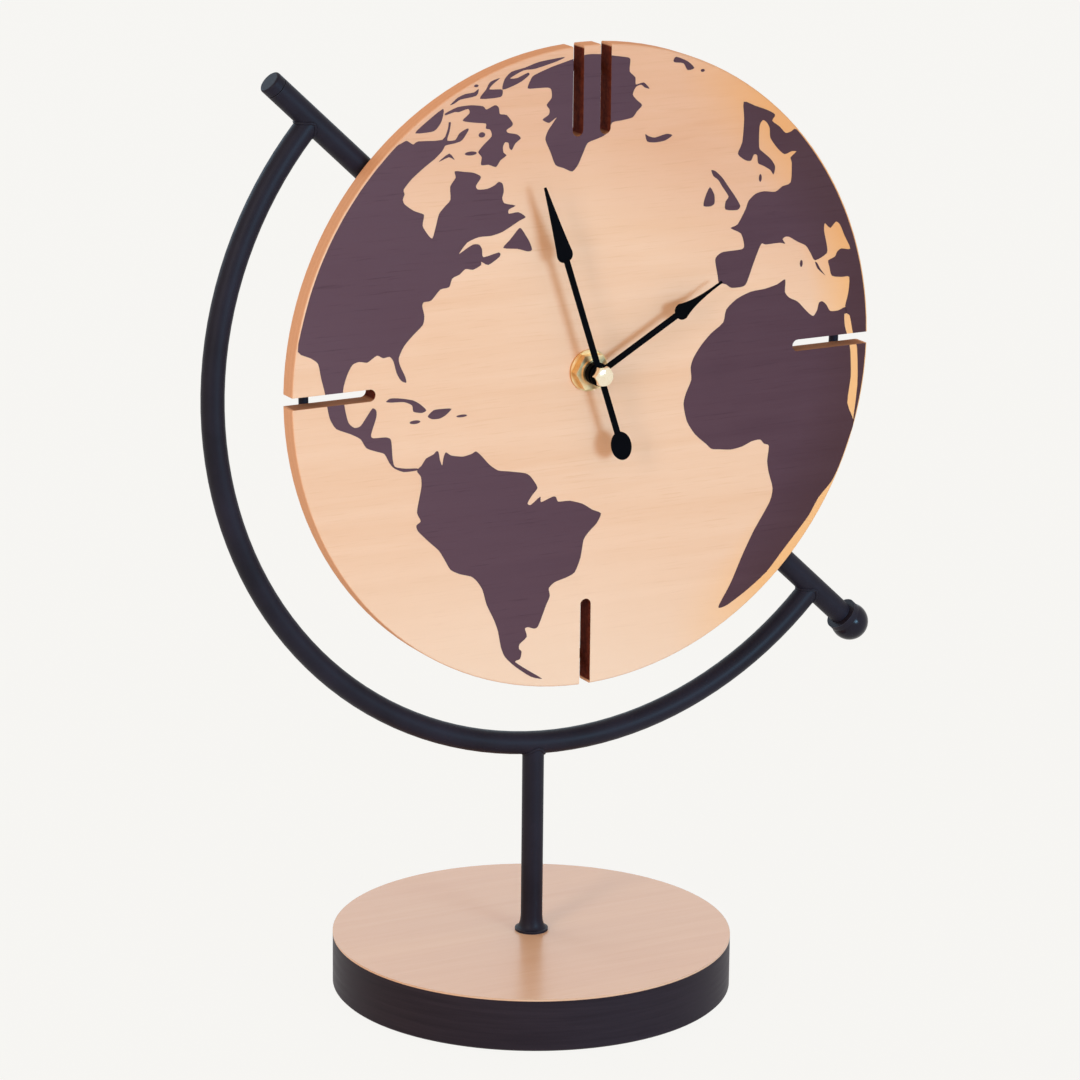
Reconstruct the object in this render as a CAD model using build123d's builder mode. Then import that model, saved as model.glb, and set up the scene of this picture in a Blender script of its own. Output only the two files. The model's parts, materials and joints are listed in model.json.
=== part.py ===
"""Table clock on a globe stand: a round wooden dial turns on a tilted axle in a bent tube arc."""
import os
from math import acos, cos, pi, radians, sin, sqrt, tan

from build123d import *

os.makedirs("parts", exist_ok=True)

# Fits
clear = 0.3  # air between pieces that move past each other
running_fit = 0.05  # radial play of a shaft in its bore
drill_play = 0.25  # radial play of a bolt or bush in its through hole

# Base
base_d = 125.0
base_block_h = 16.2
base_top_t = 0.6
base_edge = 0.5
pad_t = 1.2
pad_inset = 5.0  # from the edge of the base to the edge of the felt pad

# Stem and its bolt
stem_d = 6.8
stem_h = 58.1  # from the base to the underside of the arc, on the stem's axis
stem_foot_d = 10.4
stem_foot_rim = 0.8
stem_foot_h = 6.0
bolt_d = 5.0
bolt_grip = 14.0  # length of thread inside the stem
bolt_head_d = 9.2
bolt_head_h = 3.2
bolt_socket_af = 3.0
bolt_socket_h = 1.8
bolt_washer_d = 14.0
bolt_washer_t = 1.0
bolt_sink = 1.0  # from the underside of the base up to the bolt head

# Arc and axle
arc_gap = 17.3  # from the rim of the dial to the tube
arc_tube_d = 7.2
arc_wall = 1.0
arc_side = 12.0  # the arc's centre stands to the right of the stem, which balances the arc
axle_tilt = 43.0  # rise of the axle to the left, in degrees
axle_d = 4.0
sleeve_d = 7.4
sleeve_out = 15.2  # past the arc's centre line
cap_h = 3.0
cap_edge = 0.7
ball_d = 12.0
ball_sink = 3.3  # depth of the ball in its collar
collar_d = 11.0
collar_h = 1.8

# Dial
dial_d = 200.0
dial_t = 6.5
dial_edge = 0.6
dial_gap = 0.5  # from the sleeves to the back of the dial
slot_w = 3.7
slot_l = 27.5
twelve_pitch = 9.4  # between the two slots at twelve

# Hoop behind the dial and its clips
hoop_inset = 7.5  # from the rim of the dial to the wire's centre line
hoop_wire_d = 3.0
boss_half = 5.0
clip_count = 4
clip_first = 22.5  # degrees
clip_w = 7.0
clip_t = 0.8
clip_ear = 8.0
clip_play = 0.1
screw_d = 2.6
screw_cover = 2.0  # wood left in front of a screw
screw_head_d = 5.2
screw_head_h = 1.6
screw_cross_l = 3.2
screw_cross_w = 0.8
screw_cross_h = 0.9

# Movement
bush_wall = 1.45
bush_out = 3.8  # past the dial's front
gasket_rim = 7.0
gasket_t = 1.0
dial_washer_rim = 2.5
dial_washer_t = 0.7
dial_nut_rim = 1.25
dial_nut_t = 2.6
case_wall = 1.5
case_corner = 5.0
case_head = 3.7  # spare room above the wheels
cover_t = 1.5
cover_play = 0.1
cell_d = 14.5
cell_l = 50.5
cell_nub_d = 5.5
cell_nub_l = 1.2
cell_edge = 0.8
contact_w = 9.0
contact_t = 0.4
contact_bump_d = 5.0
contact_bump_h = 0.85
knob_d = 12.0
knob_t = 4.0
knob_flutes = 18
knob_flute_d = 1.0

# Motion work: minute pinion, minute wheel, setting pinion, hour wheel, a step of 12 to 1
gear_module = 0.5
pressure_angle = radians(20)
tooth_tip = 0.35  # above the pitch circle
tooth_root = 0.52  # below the pitch circle
backlash = 0.14
minute_pinion_teeth = 15
minute_wheel_teeth = 45
setting_pinion_teeth = 12
hour_wheel_teeth = 48
stud_angle = 30.0  # direction from the shaft to the setting arbor, in degrees
wheel_t = 1.8
wheel_gap = 0.6
wheel_room = 0.6  # round the wheels
minute_arbor_d = 3.2
hour_pipe_wall = 0.85
journal_d = 2.0
journal_l = 3.0
front_journal_l = 1.0
bearing_d = 6.5

# Hands
hand_t = 0.5
hub_rim = 1.0
collet_l = 1.5  # of the hour hand's collar on its pipe
collet_gap = 0.4  # from the bush to the collet
minute_hand_gap = 1.0  # from the hour hand to the minute hand
hour_hand_l = 49.5
hour_head_l = 18.3
hour_waist_w = 0.4  # draws the sides of the head in towards the tip
minute_hand_l = 62.7
minute_head_l = 24.5
minute_waist_w = 3.6
hand_waist_l = 5.0  # from the widest place of the head to its waist
hand_head_w = 5.2
hand_tip_w = 0.7
hand_belly = 2.6
hand_bar_w = 1.9
tail_l = 28.8
tail_w = 6.8
tail_h = 9.2
hand_nut_af = 5.6
hand_nut_t = 3.2
hand_nut_dome = 0.9
hand_nut_thread = 1.6  # depth of the nut's blind hole
pipe_proud = 0.3
time_shown = 1.949  # hours after twelve
hour_hand_ahead = 1.9  # degrees by which the hour hand is pushed on ahead of the time

# Diameters that fit one into the next round the shaft, and the dial's rings
hour_pipe_d = minute_arbor_d + 2 * (running_fit + hour_pipe_wall)
bush_d = hour_pipe_d + 2 * (running_fit + bush_wall)
hub_d = hour_pipe_d + 2 * hub_rim
bore_d = axle_d + 2 * running_fit
bolt_hole_d = bolt_d + 2 * drill_play
arc_r = dial_d / 2 + arc_gap + arc_tube_d / 2
hoop_r = dial_d / 2 - hoop_inset
journal_bore = journal_d + 2 * running_fit

# Heights
base_z = pad_t
base_top_z = base_z + base_block_h + base_top_t
arc_drop = sqrt(arc_r**2 - arc_side**2)
centre_x = arc_side
centre_z = base_top_z + stem_h + arc_tube_d / 2 + arc_drop

# Depths, with the axle at zero and the front of the clock at negative y
dial_back_y = -(sleeve_d / 2 + dial_gap)
dial_front_y = dial_back_y - dial_t
hoop_y = dial_back_y + hoop_wire_d / 2
bush_front_y = dial_front_y - bush_out
hour_hand_y = bush_front_y - collet_gap - collet_l
minute_hand_y = hour_hand_y - hand_t - minute_hand_gap
nut_back_y = minute_hand_y - hand_t
case_front_y = dial_back_y + gasket_t
case_depth = case_wall + clear + cell_d
case_back_y = case_front_y + case_depth
chamber_y = case_front_y + case_wall
hour_wheel_y = chamber_y + clear + wheel_t
minute_wheel_front_y = hour_wheel_y + wheel_gap
minute_wheel_y = minute_wheel_front_y + wheel_t
bearing_y = minute_wheel_y + clear
front_journal_y = chamber_y - front_journal_l
cover_y = case_back_y - cover_t
knob_y = case_back_y + clear + knob_t

# Stations along the axle, from the dial's centre
sleeve_in = hoop_r + boss_half + clear
sleeve_end = arc_r + sleeve_out
ball_station = sleeve_end + clear + collar_h + ball_d / 2 - ball_sink

# Places on the movement, from the hands' shaft
stud_reach = gear_module * (minute_pinion_teeth + minute_wheel_teeth) / 2
stud_x = stud_reach * cos(radians(stud_angle))
stud_z = stud_reach * sin(radians(stud_angle))
hour_room_r = gear_module * hour_wheel_teeth / 2 + tooth_tip + wheel_room
minute_room_r = gear_module * minute_wheel_teeth / 2 + tooth_tip + wheel_room
bay_l = max(cell_l + 2 * (contact_t + contact_bump_h), 2 * (stud_x + minute_room_r))
bay_h = cell_d + 2 * clear
cover_low = -hour_room_r
cover_high = stud_z + minute_room_r + case_head
bay_mid = cover_low - case_wall - bay_h / 2
case_low = bay_mid - bay_h / 2 - case_wall
case_high = cover_high + case_wall
cell_y = chamber_y + clear + cell_d / 2

# Angles of the hands, clockwise from twelve
minute_angle = 360 * (time_shown % 1)
hour_angle = 30 * time_shown + hour_hand_ahead


def front_plane(y, x=0, z=0):
    """Plane at depth y that faces the front, its origin at x, z from the dial's centre."""
    return Plane(origin=(centre_x + x, y, centre_z + z), x_dir=(1, 0, 0), z_dir=(0, -1, 0))


def hand_plane(y, angle):
    """Front plane turned so that its y direction points along a hand."""
    turn = radians(angle)
    return Plane(origin=(centre_x, y, centre_z), x_dir=(cos(turn), 0, -sin(turn)), z_dir=(0, -1, 0))


def axle_plane(station, angle):
    """Plane square to the axle, at a station outwards from the dial's centre."""
    turn = radians(angle)
    out = Vector(cos(turn), 0, sin(turn))
    return Plane(origin=Vector(centre_x, 0, centre_z) + out * station, x_dir=(0, 1, 0), z_dir=out)


def ring_plane(radius, angle, y=0):
    """Plane across a ring round the dial's centre: x outwards, y to the back."""
    turn = radians(angle)
    out = Vector(cos(turn), 0, sin(turn))
    along = Vector(-sin(turn), 0, cos(turn))
    return Plane(origin=Vector(centre_x, y, centre_z) + out * radius, x_dir=out, z_dir=along)


def gear_outline(teeth, first_tooth):
    """Closed involute outline, with one tooth centred on the angle first_tooth, in degrees."""
    pitch_r = gear_module * teeth / 2
    base_r = pitch_r * cos(pressure_angle)
    half_at_pitch = pi / (2 * teeth) - backlash / (4 * pitch_r)

    def half_tooth(radius):
        roll = acos(min(1, base_r / radius))
        return half_at_pitch + (tan(pressure_angle) - pressure_angle) - (tan(roll) - roll)

    radii = [pitch_r - tooth_root, max(base_r, pitch_r - tooth_root / 2), pitch_r, pitch_r + tooth_tip]
    points = []
    for tooth in range(teeth):
        middle = radians(first_tooth) + 2 * pi * tooth / teeth
        rising = [(r, middle - half_tooth(r)) for r in radii]
        falling = [(r, middle + half_tooth(r)) for r in reversed(radii)]
        points += [(r * cos(a), r * sin(a)) for r, a in rising + falling]
    return points


def gear(teeth, first_tooth, x, z, y, thickness):
    """Add a gear to the current part: its back at depth y, its centre at x, z from the shaft."""
    with BuildSketch(front_plane(y, x, z)) as profile:
        with BuildLine():
            Polyline(*gear_outline(teeth, first_tooth), close=True)
        make_face()
    extrude(profile.sketch, amount=thickness)


def rod(diameter, x, z, back_y, front_y, mode=Mode.ADD):
    """Add or cut a round rod along the shaft's direction, from back_y forward to front_y."""
    with BuildSketch(front_plane(back_y, x, z)) as profile:
        Circle(diameter / 2)
    extrude(profile.sketch, amount=back_y - front_y, mode=mode)


def ring(outer_d, inner_d, back_y, thickness):
    """Add a flat ring round the shaft."""
    with BuildSketch(front_plane(back_y)) as profile:
        Circle(outer_d / 2)
        Circle(inner_d / 2, mode=Mode.SUBTRACT)
    extrude(profile.sketch, amount=thickness)


def axle_rod(diameter, start, end, angle, mode=Mode.ADD):
    """Add or cut a round rod along the axle, between two stations."""
    with BuildSketch(axle_plane(start, angle)) as profile:
        Circle(diameter / 2)
    extrude(profile.sketch, amount=end - start, mode=mode)


def hand_head(length, head_l, waist_w):
    """Add the spade head of a hand to the current sketch."""
    base = length - head_l
    widest = (hand_head_w / 2, base + hand_belly)
    waist = (waist_w / 2, base + hand_belly + hand_waist_l)
    tip = (hand_tip_w / 2, length)
    with BuildLine() as outline:
        Bezier((0, base), (hand_head_w / 2, base), widest)
        Bezier(widest, waist, tip)
        Line(tip, (0, length))
        mirror(about=Plane.YZ)
    make_face(outline.edges())


def save(builder, name):
    """Label a finished piece and write it to its file."""
    builder.part.label = name
    export_step(builder.part, f"parts/{name}.step")


upper = 180 - axle_tilt
lower = -axle_tilt
dial_axis = Axis((centre_x, 0, centre_z), (0, -1, 0))
upper_axis = Axis((centre_x, 0, centre_z), (cos(radians(upper)), 0, sin(radians(upper))))
sink_depth = bolt_sink + bolt_head_h + bolt_washer_t

# Base block, with a sunk hole for the stem's bolt
with BuildPart() as base_block:
    with BuildSketch(Plane.XY.offset(base_z)):
        Circle(base_d / 2)
    extrude(amount=base_block_h)
    chamfer(base_block.edges().group_by(Axis.Z)[0], length=base_edge)
    with Locations(base_block.faces().sort_by(Axis.Z)[0]):
        CounterBoreHole(bolt_hole_d / 2, bolt_washer_d / 2 + drill_play, sink_depth)
save(base_block, "base_block")

# Wooden top sheet of the base
with BuildPart() as base_top:
    with BuildSketch(Plane.XY.offset(base_z + base_block_h)):
        Circle(base_d / 2)
        Circle(bolt_hole_d / 2, mode=Mode.SUBTRACT)
    extrude(amount=base_top_t)
save(base_top, "base_top")

# Felt pad under the base, which covers the bolt
with BuildPart() as base_pad:
    with BuildSketch(Plane.XY):
        Circle(base_d / 2 - pad_inset)
    extrude(amount=pad_t)
save(base_pad, "base_pad")

# Stem with a flared foot, shaped at the top to the underside of the arc
with BuildPart() as stem:
    with BuildSketch(Plane.XZ):
        with BuildLine():
            flare_z = base_top_z + stem_foot_rim
            neck = (stem_d / 2, base_top_z + stem_foot_h)
            top_z = base_top_z + stem_h + arc_tube_d / 2
            Polyline((0, base_top_z), (stem_foot_d / 2, base_top_z), (stem_foot_d / 2, flare_z))
            Bezier((stem_foot_d / 2, flare_z), (stem_d / 2, flare_z), neck)
            Polyline(neck, (stem_d / 2, top_z), (0, top_z), (0, base_top_z))
        make_face()
    revolve(axis=Axis.Z)
    with BuildSketch(Plane.XY.offset(base_top_z)):
        Circle(bolt_d / 2)
    extrude(amount=bolt_grip, mode=Mode.SUBTRACT)
    with BuildSketch(ring_plane(arc_r, 180)):
        Circle(arc_tube_d / 2)
    revolve(axis=dial_axis, revolution_arc=180, mode=Mode.SUBTRACT)
save(stem, "stem")

# Bolt and washer that hold the stem from below
with BuildPart() as stem_bolt:
    head_z = base_z + bolt_sink
    with BuildSketch(Plane.XY.offset(head_z)):
        Circle(bolt_head_d / 2)
    extrude(amount=bolt_head_h)
    with BuildSketch(Plane.XY.offset(head_z)):
        Circle(bolt_d / 2)
    extrude(amount=base_top_z + bolt_grip - head_z)
    with BuildSketch(Plane.XY.offset(head_z)):
        RegularPolygon(bolt_socket_af / 2, 6, major_radius=False)
    extrude(amount=bolt_socket_h, mode=Mode.SUBTRACT)
save(stem_bolt, "stem_bolt")

with BuildPart() as bolt_washer:
    with BuildSketch(Plane.XY.offset(base_z + bolt_sink + bolt_head_h)):
        Circle(bolt_washer_d / 2)
        Circle(bolt_hole_d / 2, mode=Mode.SUBTRACT)
    extrude(amount=bolt_washer_t)
save(bolt_washer, "bolt_washer")

# Half-circle arc of tube, its ends shaped to the two sleeves
with BuildPart() as meridian_arc:
    with BuildSketch(ring_plane(arc_r, upper)):
        Circle(arc_tube_d / 2)
        Circle(arc_tube_d / 2 - arc_wall, mode=Mode.SUBTRACT)
    revolve(axis=dial_axis, revolution_arc=180)
    for angle in (upper, lower):
        axle_rod(sleeve_d, sleeve_in, sleeve_end, angle, mode=Mode.SUBTRACT)
save(meridian_arc, "meridian_arc")

# Sleeves that carry the axle
with BuildPart() as upper_sleeve:
    axle_rod(sleeve_d, sleeve_in, sleeve_end, upper)
    axle_rod(bore_d, sleeve_in, sleeve_end, upper, mode=Mode.SUBTRACT)
save(upper_sleeve, "upper_sleeve")

with BuildPart() as lower_sleeve:
    axle_rod(sleeve_d, sleeve_in, sleeve_end, lower)
    axle_rod(bore_d, sleeve_in, sleeve_end, lower, mode=Mode.SUBTRACT)
save(lower_sleeve, "lower_sleeve")

# Upper axle pin with its flat cap
with BuildPart() as upper_axle:
    cap_start = sleeve_end + clear
    axle_rod(axle_d, hoop_r - boss_half, cap_start, upper)
    axle_rod(sleeve_d, cap_start, cap_start + cap_h, upper)
    fillet(upper_axle.edges().filter_by(GeomType.CIRCLE).sort_by(upper_axis)[-1], radius=cap_edge)
save(upper_axle, "upper_axle")

# Lower axle pin, and the ball on its end with a flat back and a collar
with BuildPart() as lower_axle:
    axle_rod(axle_d, hoop_r - boss_half, ball_station, lower)
save(lower_axle, "lower_axle")

with BuildPart(axle_plane(ball_station, lower)) as ball_finial:
    Sphere(ball_d / 2)
    split(bisect_by=axle_plane(sleeve_end + clear, lower), keep=Keep.TOP)
    axle_rod(collar_d, sleeve_end + clear, ball_station, lower)
    axle_rod(axle_d, sleeve_end + clear, ball_station, lower, mode=Mode.SUBTRACT)
save(ball_finial, "ball_finial")

# Wire hoop behind the dial, with a boss for each axle pin
with BuildPart() as hoop:
    with BuildSketch(ring_plane(hoop_r, upper, hoop_y)):
        Circle(hoop_wire_d / 2)
    revolve(axis=dial_axis)
    for angle in (upper, lower):
        axle_rod(sleeve_d, hoop_r - boss_half, hoop_r + boss_half, angle)
        axle_rod(axle_d, hoop_r - boss_half, hoop_r + boss_half, angle, mode=Mode.SUBTRACT)
save(hoop, "hoop")

clip_angles = [clip_first + 360 * n / clip_count for n in range(clip_count)]
strap_in = hoop_wire_d / 2 + clip_play
strap_out = strap_in + clip_t
screw_reach = hoop_r - strap_out - clip_ear / 2
screw_places = [(screw_reach * cos(radians(a)), screw_reach * sin(radians(a))) for a in clip_angles]
screw_tip_y = dial_front_y + screw_cover

# Clips that strap the hoop to the dial, each with an ear for one screw
with BuildPart() as hoop_clips:
    for angle in clip_angles:
        with BuildSketch(ring_plane(hoop_r, angle, hoop_y)):
            Circle(strap_out)
            with Locations((0, -hoop_wire_d / 4)):
                Rectangle(2 * strap_out, hoop_wire_d / 2)
            with Locations((-strap_out, -hoop_wire_d / 2)):
                Rectangle(clip_ear, clip_t, align=(Align.MAX, Align.MIN))
            Circle(strap_in, mode=Mode.SUBTRACT)
            with Locations((0, -strap_out)):
                Rectangle(2 * strap_in, 2 * strap_out, mode=Mode.SUBTRACT)
            with Locations((0, -hoop_wire_d / 2)):
                Rectangle(2 * strap_out, strap_out, align=(Align.CENTER, Align.MAX), mode=Mode.SUBTRACT)
        extrude(amount=clip_w / 2, both=True)
    for x, z in screw_places:
        rod(screw_d, x, z, dial_back_y + clip_t, dial_back_y, mode=Mode.SUBTRACT)
save(hoop_clips, "hoop_clips")

with BuildPart() as clip_screws:
    for x, z in screw_places:
        rod(screw_head_d, x, z, dial_back_y + clip_t + screw_head_h, dial_back_y + clip_t)
        rod(screw_d, x, z, dial_back_y + clip_t, screw_tip_y)
        with BuildSketch(front_plane(dial_back_y + clip_t + screw_head_h, x, z)):
            Rectangle(screw_cross_l, screw_cross_w)
            Rectangle(screw_cross_w, screw_cross_l)
        extrude(amount=screw_cross_h, mode=Mode.SUBTRACT)
save(clip_screws, "clip_screws")

# Dial, with a slot cut in from the rim at three, six and nine, and two at twelve
with BuildPart() as dial:
    with BuildSketch(front_plane(dial_back_y)):
        Circle(dial_d / 2)
        Circle(bush_d / 2 + drill_play, mode=Mode.SUBTRACT)
        slots = [(0, 0), (90, -twelve_pitch / 2), (90, twelve_pitch / 2), (180, 0), (270, 0)]
        for angle, side in slots:
            with Locations(Rot(0, 0, angle) * Pos(dial_d / 2, side)):
                SlotCenterToCenter(2 * slot_l - slot_w, slot_w, mode=Mode.SUBTRACT)
    extrude(amount=dial_t)
    for x, z in screw_places:
        rod(screw_d, x, z, dial_back_y, screw_tip_y, mode=Mode.SUBTRACT)
    rim = dial.faces().filter_by(GeomType.CYLINDER).group_by(SortBy.RADIUS)[-1]
    fillet(rim.edges().filter_by(GeomType.CIRCLE), radius=dial_edge)
save(dial, "dial")

# Threaded bush, with the gasket behind the dial and the washer and nut in front of it
with BuildPart() as shaft_bush:
    ring(bush_d, hour_pipe_d + 2 * running_fit, chamber_y, chamber_y - bush_front_y)
save(shaft_bush, "shaft_bush")

with BuildPart() as gasket:
    ring(bush_d + 2 * gasket_rim, bush_d, case_front_y, gasket_t)
save(gasket, "gasket")

with BuildPart() as dial_washer:
    ring(bush_d + 2 * dial_washer_rim, bush_d, dial_front_y, dial_washer_t)
save(dial_washer, "dial_washer")

with BuildPart() as dial_nut:
    with BuildSketch(front_plane(dial_front_y - dial_washer_t)):
        RegularPolygon(bush_d / 2 + dial_nut_rim, 6, major_radius=False)
        Circle(bush_d / 2, mode=Mode.SUBTRACT)
    extrude(amount=dial_nut_t)
save(dial_nut, "dial_nut")

# Movement case: a chamber for the wheels and an open bay for the battery
with BuildPart() as movement_case:
    with BuildSketch(front_plane(case_back_y, z=(case_low + case_high) / 2)):
        RectangleRounded(bay_l + 2 * case_wall, case_high - case_low, case_corner)
    extrude(amount=case_depth)
    with BuildSketch(front_plane(case_back_y, z=bay_mid)):
        Rectangle(bay_l, bay_h)
    extrude(amount=case_depth - case_wall, mode=Mode.SUBTRACT)
    with BuildSketch(front_plane(case_back_y, z=(cover_low + cover_high) / 2)):
        Rectangle(bay_l, cover_high - cover_low)
    extrude(amount=cover_t, mode=Mode.SUBTRACT)
    rod(2 * hour_room_r, 0, 0, cover_y, chamber_y, mode=Mode.SUBTRACT)
    rod(2 * minute_room_r, stud_x, stud_z, cover_y, chamber_y, mode=Mode.SUBTRACT)
    rod(bush_d, 0, 0, chamber_y, case_front_y, mode=Mode.SUBTRACT)
    rod(journal_bore, stud_x, stud_z, chamber_y, front_journal_y - running_fit, mode=Mode.SUBTRACT)
save(movement_case, "movement_case")

# Cover of the wheel chamber, with a bearing boss for each arbor
with BuildPart() as movement_cover:
    with BuildSketch(front_plane(case_back_y, z=(cover_low + cover_high) / 2)):
        Rectangle(bay_l - 2 * cover_play, cover_high - cover_low - 2 * cover_play)
    extrude(amount=cover_t)
    for x, z in ((0, 0), (stud_x, stud_z)):
        rod(bearing_d, x, z, cover_y, bearing_y)
    rod(journal_bore, 0, 0, bearing_y + journal_l, bearing_y, mode=Mode.SUBTRACT)
    rod(journal_bore, stud_x, stud_z, case_back_y, bearing_y, mode=Mode.SUBTRACT)
save(movement_cover, "movement_cover")

# Battery cell and its two leaf contacts
with BuildPart() as battery:
    cell_end = Plane(origin=(centre_x - cell_l / 2, cell_y, centre_z + bay_mid), z_dir=(1, 0, 0))
    with BuildSketch(cell_end):
        Circle(cell_d / 2)
    extrude(amount=cell_l - cell_nub_l)
    fillet(battery.edges().filter_by(GeomType.CIRCLE), radius=cell_edge)
    with BuildSketch(cell_end.offset(cell_l - cell_nub_l)):
        Circle(cell_nub_d / 2)
    extrude(amount=cell_nub_l)
save(battery, "battery")

with BuildPart() as battery_contacts:
    for side in (-1, 1):
        wall = Plane(origin=(centre_x + side * bay_l / 2, cell_y, centre_z + bay_mid), z_dir=(-side, 0, 0))
        with BuildSketch(wall):
            Rectangle(contact_w, contact_w)
        extrude(amount=contact_t)
        with BuildSketch(wall):
            Circle(contact_bump_d / 2)
        extrude(amount=(bay_l - cell_l) / 2)
save(battery_contacts, "battery_contacts")

# Minute arbor with its pinion
with BuildPart() as minute_arbor:
    gear(minute_pinion_teeth, stud_angle, 0, 0, minute_wheel_y, wheel_t)
    rod(minute_arbor_d, 0, 0, minute_wheel_front_y, nut_back_y - hand_nut_thread)
    rod(journal_d, 0, 0, bearing_y + journal_l - running_fit, minute_wheel_y)
save(minute_arbor, "minute_arbor")

# Hour wheel with its pipe
with BuildPart() as hour_wheel:
    gear(hour_wheel_teeth, stud_angle + 180 / hour_wheel_teeth, 0, 0, hour_wheel_y, wheel_t)
    rod(hour_pipe_d, 0, 0, hour_wheel_y, hour_hand_y - hand_t - pipe_proud)
    rod(minute_arbor_d + 2 * running_fit, 0, 0, hour_wheel_y, hour_hand_y - hand_t - pipe_proud,
        mode=Mode.SUBTRACT)
save(hour_wheel, "hour_wheel")

# Setting arbor: minute wheel and setting pinion on one shaft that ends in the knob
with BuildPart() as setting_arbor:
    toward_shaft = stud_angle + 180
    gear(minute_wheel_teeth, toward_shaft + 180 / minute_wheel_teeth, stud_x, stud_z, minute_wheel_y, wheel_t)
    gear(setting_pinion_teeth, toward_shaft, stud_x, stud_z, minute_wheel_front_y, wheel_gap + wheel_t)
    rod(journal_d, stud_x, stud_z, hour_wheel_y, front_journal_y)
    rod(journal_d, stud_x, stud_z, knob_y, minute_wheel_y)
save(setting_arbor, "setting_arbor")

with BuildPart() as setting_knob:
    with BuildSketch(front_plane(knob_y)):
        with Locations((stud_x, stud_z)):
            Circle(knob_d / 2)
            Circle(journal_d / 2, mode=Mode.SUBTRACT)
            with PolarLocations(knob_d / 2, knob_flutes):
                Circle(knob_flute_d / 2, mode=Mode.SUBTRACT)
    extrude(amount=knob_t)
save(setting_knob, "setting_knob")

# Hands, and the domed nut on the minute arbor
with BuildPart() as hour_hand:
    with BuildSketch(hand_plane(hour_hand_y, hour_angle)):
        Circle(hub_d / 2)
        Rectangle(hand_bar_w, hour_hand_l - hour_head_l + hand_belly, align=(Align.CENTER, Align.MIN))
        hand_head(hour_hand_l, hour_head_l, hour_waist_w)
        Circle(hour_pipe_d / 2, mode=Mode.SUBTRACT)
    extrude(amount=hand_t)
    ring(hub_d, hour_pipe_d, hour_hand_y + collet_l, collet_l)
save(hour_hand, "hour_hand")

with BuildPart() as minute_hand:
    with BuildSketch(hand_plane(minute_hand_y, minute_angle)):
        Circle(hub_d / 2)
        Rectangle(hand_bar_w, minute_hand_l - minute_head_l + hand_belly, align=(Align.CENTER, Align.MIN))
        hand_head(minute_hand_l, minute_head_l, minute_waist_w)
        Rectangle(hand_bar_w, tail_l - tail_h / 2, align=(Align.CENTER, Align.MAX))
        with Locations((0, tail_h / 2 - tail_l)):
            Ellipse(tail_w / 2, tail_h / 2)
        Circle(minute_arbor_d / 2, mode=Mode.SUBTRACT)
    extrude(amount=hand_t)
save(minute_hand, "minute_hand")

with BuildPart() as hand_nut:
    with BuildSketch(front_plane(nut_back_y)):
        RegularPolygon(hand_nut_af / 2, 6, major_radius=False)
    extrude(amount=hand_nut_t)
    with BuildSketch(Plane.XY.offset(centre_z)):
        with BuildLine():
            top_y = nut_back_y - hand_nut_t
            edge = (centre_x + hand_nut_af / sqrt(3), top_y + hand_nut_dome)
            Polyline((centre_x, nut_back_y), (edge[0], nut_back_y), edge)
            Bezier(edge, (centre_x + hand_nut_af / 2, top_y), (centre_x, top_y))
            Line((centre_x, top_y), (centre_x, nut_back_y))
        make_face()
    revolve(axis=dial_axis, mode=Mode.INTERSECT)
    rod(minute_arbor_d, 0, 0, nut_back_y, nut_back_y - hand_nut_thread, mode=Mode.SUBTRACT)
save(hand_nut, "hand_nut")
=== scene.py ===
"""Looks of a globe-stand table clock: map print, weld beads, materials, floor, light, camera."""
import json
import math

import bmesh
import bpy
from mathutils import Matrix, Vector
from mathutils.geometry import delaunay_2d_cdt


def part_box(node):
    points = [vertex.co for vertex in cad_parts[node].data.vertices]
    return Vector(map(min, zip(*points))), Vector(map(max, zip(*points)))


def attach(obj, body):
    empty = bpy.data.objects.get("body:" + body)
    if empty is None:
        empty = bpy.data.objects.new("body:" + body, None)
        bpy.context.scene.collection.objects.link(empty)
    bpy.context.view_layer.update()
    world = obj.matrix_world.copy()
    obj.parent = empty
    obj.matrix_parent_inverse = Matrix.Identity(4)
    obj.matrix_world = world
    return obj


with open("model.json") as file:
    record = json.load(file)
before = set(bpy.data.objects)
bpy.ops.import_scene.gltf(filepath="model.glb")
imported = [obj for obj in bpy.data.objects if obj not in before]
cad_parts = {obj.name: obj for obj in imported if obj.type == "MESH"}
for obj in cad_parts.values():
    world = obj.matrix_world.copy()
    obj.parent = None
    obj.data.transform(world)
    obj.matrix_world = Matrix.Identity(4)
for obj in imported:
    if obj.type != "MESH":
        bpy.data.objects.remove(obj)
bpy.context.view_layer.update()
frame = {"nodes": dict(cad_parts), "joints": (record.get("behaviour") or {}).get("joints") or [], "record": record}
nodes = frame["nodes"]
scene = bpy.context.scene

MM = 0.001

# Places and sizes of the CAD pieces
dial_low, dial_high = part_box("dial")
bush_low, bush_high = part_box("shaft_bush")
arc_low, arc_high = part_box("meridian_arc")
_, sleeve_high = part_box("upper_sleeve")
ball_low, ball_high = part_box("ball_finial")
cell_low, cell_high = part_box("battery")
swivel = next(j for j in frame["joints"] if j["name"] == "dial_swivel")
UP = Vector(swivel["axis"])
CENTRE = Vector(((bush_low.x + bush_high.x) / 2, 0.0, (bush_low.z + bush_high.z) / 2))
DIAL_R = (dial_high.z - dial_low.z) / 2
FACE_Y = dial_low.y
TUBE_R = arc_high.y
ARC_R = CENTRE.x - arc_low.x - TUBE_R
SLEEVE_R = sleeve_high.y
STEM_R = 3.4 * MM  # the stem's box is that of its flared foot
BALL_R = ball_high.y
BALL = (ball_high.x - BALL_R, 0, ball_low.z + BALL_R)

# The battery's wrap: start of its band, as a share of the length, and its bare ends
CELL_BAND = 0.72
CELL_BARE = 1.9 * MM

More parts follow.
